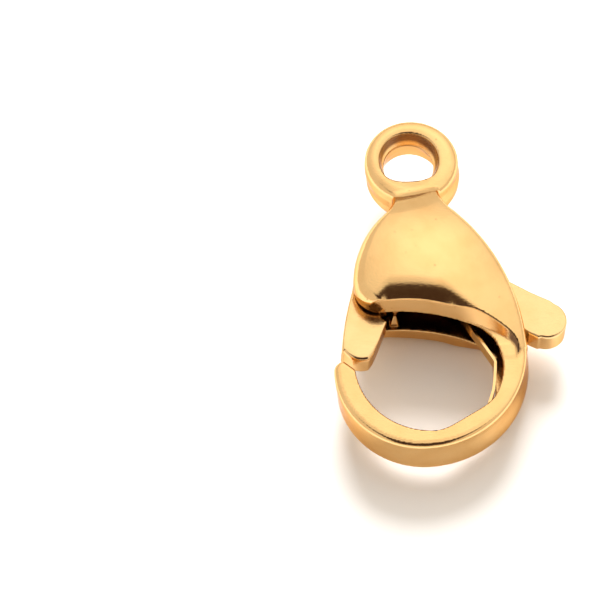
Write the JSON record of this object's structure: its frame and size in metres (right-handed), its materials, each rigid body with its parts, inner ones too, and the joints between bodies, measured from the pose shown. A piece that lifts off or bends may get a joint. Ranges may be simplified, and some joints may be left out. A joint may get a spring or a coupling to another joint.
{
  "type": "lobster clasp",
  "caption": "Cast lobster clasp with a round eyelet, domed cheeks around a slot, a hook, and a sprung lever with gate and thumb tab.",
  "frame": {"origin": "centre of the eyelet's bore, halfway through the thickness", "axes": "+Z along the bore, out of the front; -Y towards the hook; +X towards the thumb tab"},
  "size_m": [0.0078, 0.012, 0.0032],
  "materials": {
    "cast_gold_plate": "polished, with a fine cast grain on the flat faces",
    "lever_gold_plate": "polished, stamped edges",
    "spring_gold_plate": "smooth rolled strip",
    "pin_steel": "plain turned"
  },
  "bodies": {
    "casting": {"frame": "cast_gold_plate", "pivot_pin": "pin_steel", "leaf_spring": "spring_gold_plate"},
    "gate_lever": {"lever": "lever_gold_plate"}
  },
  "joints": [
    {"name": "gate", "type": "hinge", "parent": "casting", "child": "gate_lever", "pos_m": [-0.00148, -0.0046, 0], "axis": [0, 0, 1], "range_deg": [0, 18], "stiffness_Nm_per_rad": 0.00003, "springref_deg": -20.05, "deforming": ["leaf_spring"]}
  ]
}
